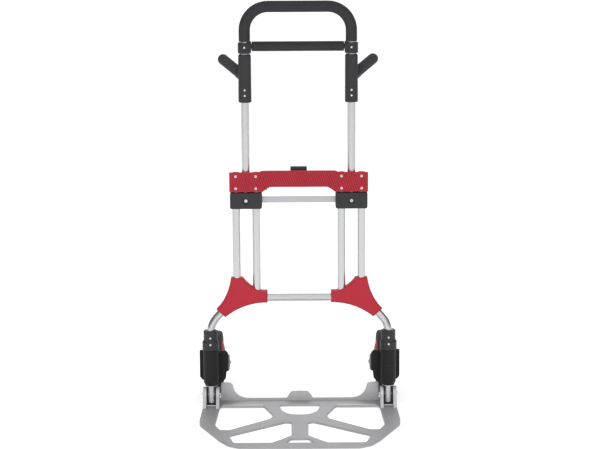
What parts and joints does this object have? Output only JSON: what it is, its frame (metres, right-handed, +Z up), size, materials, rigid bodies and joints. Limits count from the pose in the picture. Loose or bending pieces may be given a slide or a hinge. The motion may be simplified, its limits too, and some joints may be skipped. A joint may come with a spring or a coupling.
{
  "type": "folding hand truck",
  "caption": "Folding two-wheel hand truck with a telescoping tube mast, a hinged cast toe plate and wheels that swing in behind the frame.",
  "frame": {"origin": "on the floor under the middle of the frame, in the plane of the tubes; it is on the flat underside of the toe plate", "axes": "+Z up along the mast, +X to the right seen from the toe plate's side, -Y towards the toe plate's front edge, +Y towards the wheels"},
  "size_m": [0.6368, 0.686, 1.28],
  "materials": {
    "aluminium_tube": "drawn tube, satin anodised",
    "cast_aluminium": "cast and tumbled, matte",
    "steel": "bright zinc plating",
    "red_plastic": "moulded, fine satin",
    "black_plastic": "moulded, fine satin",
    "foam": "closed-cell foam and soft rubber, matte",
    "tyre_rubber": "moulded rubber, matte"
  },
  "bodies": {
    "frame": {"outer_tube_left": "aluminium_tube", "inner_tube_left": "aluminium_tube", "corner_bracket_front_left": "red_plastic", "corner_bracket_back_left": "red_plastic", "leg_collar_left": "black_plastic", "kingpin_left": "steel", "washer_left": "steel", "foot_block_left": "black_plastic", "outer_tube_right": "aluminium_tube", "inner_tube_right": "aluminium_tube", "corner_bracket_front_right": "red_plastic", "corner_bracket_back_right": "red_plastic", "leg_collar_right": "black_plastic", "kingpin_right": "steel", "washer_right": "steel", "foot_block_right": "black_plastic", "cross_tube": "aluminium_tube", "crossbeam_front": "red_plastic", "crossbeam_back": "red_plastic", "button_spring": "steel", "crossbeam_screw_1": "steel", "crossbeam_screw_2": "steel", "crossbeam_screw_3": "steel", "crossbeam_screw_4": "steel", "crossbeam_screw_5": "steel", "crossbeam_screw_6": "steel", "crossbeam_screw_7": "steel", "crossbeam_screw_8": "steel"},
    "mast": {"handle_tube": "aluminium_tube", "top_grip": "foam", "cross_grip_tube": "black_plastic", "cross_grip": "foam", "slider_crossbar": "cast_aluminium", "grip_collar_left": "black_plastic", "handle_sleeve_left": "black_plastic", "side_grip_left": "foam", "slider_left": "black_plastic", "slider_screw_left": "steel", "grip_collar_right": "black_plastic", "handle_sleeve_right": "black_plastic", "side_grip_right": "foam", "slider_right": "black_plastic", "slider_screw_right": "steel"},
    "button": {"release_button": "black_plastic"},
    "latch": {"latch_bar": "steel"},
    "toe_plate_fold": {"toe_plate": "cast_aluminium", "hinge_pin_left": "steel", "hinge_pin_right": "steel"},
    "carrier_left": {"wheel_carrier_left": "black_plastic", "wheel_axle_left": "steel", "wheel_bush_left": "steel"},
    "wheel_left": {"tyre_left": "tyre_rubber", "wheel_hub_left": "red_plastic"},
    "carrier_right": {"wheel_carrier_right": "black_plastic", "wheel_axle_right": "steel", "wheel_bush_right": "steel"},
    "wheel_right": {"tyre_right": "tyre_rubber", "wheel_hub_right": "red_plastic"}
  },
  "joints": [
    {"name": "mast_slide", "type": "slide", "parent": "frame", "child": "mast", "axis": [0, 0, 1], "range_m": [-0.21, 0]},
    {"name": "button_press", "type": "slide", "parent": "frame", "child": "button", "axis": [0, 0, -1], "range_m": [0, 0.005], "stiffness_N_per_m": 800, "springref_m": -0.002, "deforming": ["button_spring"]},
    {"name": "latch_pull", "type": "slide", "parent": "frame", "child": "latch", "axis": [0, 1, 0], "range_m": [0, 0.0045]},
    {"name": "plate_fold", "type": "hinge", "parent": "frame", "child": "toe_plate_fold", "pos_m": [0, 0, 0.0405], "axis": [-1, 0, 0], "range_deg": [0, 90]},
    {"name": "wheel_fold_left", "type": "hinge", "parent": "frame", "child": "carrier_left", "pos_m": [-0.279, 0, 0.13], "axis": [0, 0, -1], "range_deg": [0, 80]},
    {"name": "wheel_fold_right", "type": "hinge", "parent": "frame", "child": "carrier_right", "pos_m": [0.279, 0, 0.13], "axis": [0, 0, 1], "range_deg": [0, 80]},
    {"name": "wheel_spin_left", "type": "hinge", "parent": "carrier_left", "child": "wheel_left", "pos_m": [-0.2695, 0.15, 0.103], "axis": [1, 0, 0], "continuous": true},
    {"name": "wheel_spin_right", "type": "hinge", "parent": "carrier_right", "child": "wheel_right", "pos_m": [0.2695, 0.15, 0.103], "axis": [1, 0, 0], "continuous": true}
  ],
  "couplings": [
    {"joint": "latch_pull", "follows": "button_press", "ratio": 0.9},
    {"joint": "wheel_fold_left", "follows": "plate_fold", "ratio": 0.8888},
    {"joint": "wheel_fold_right", "follows": "plate_fold", "ratio": 0.8888}
  ]
}
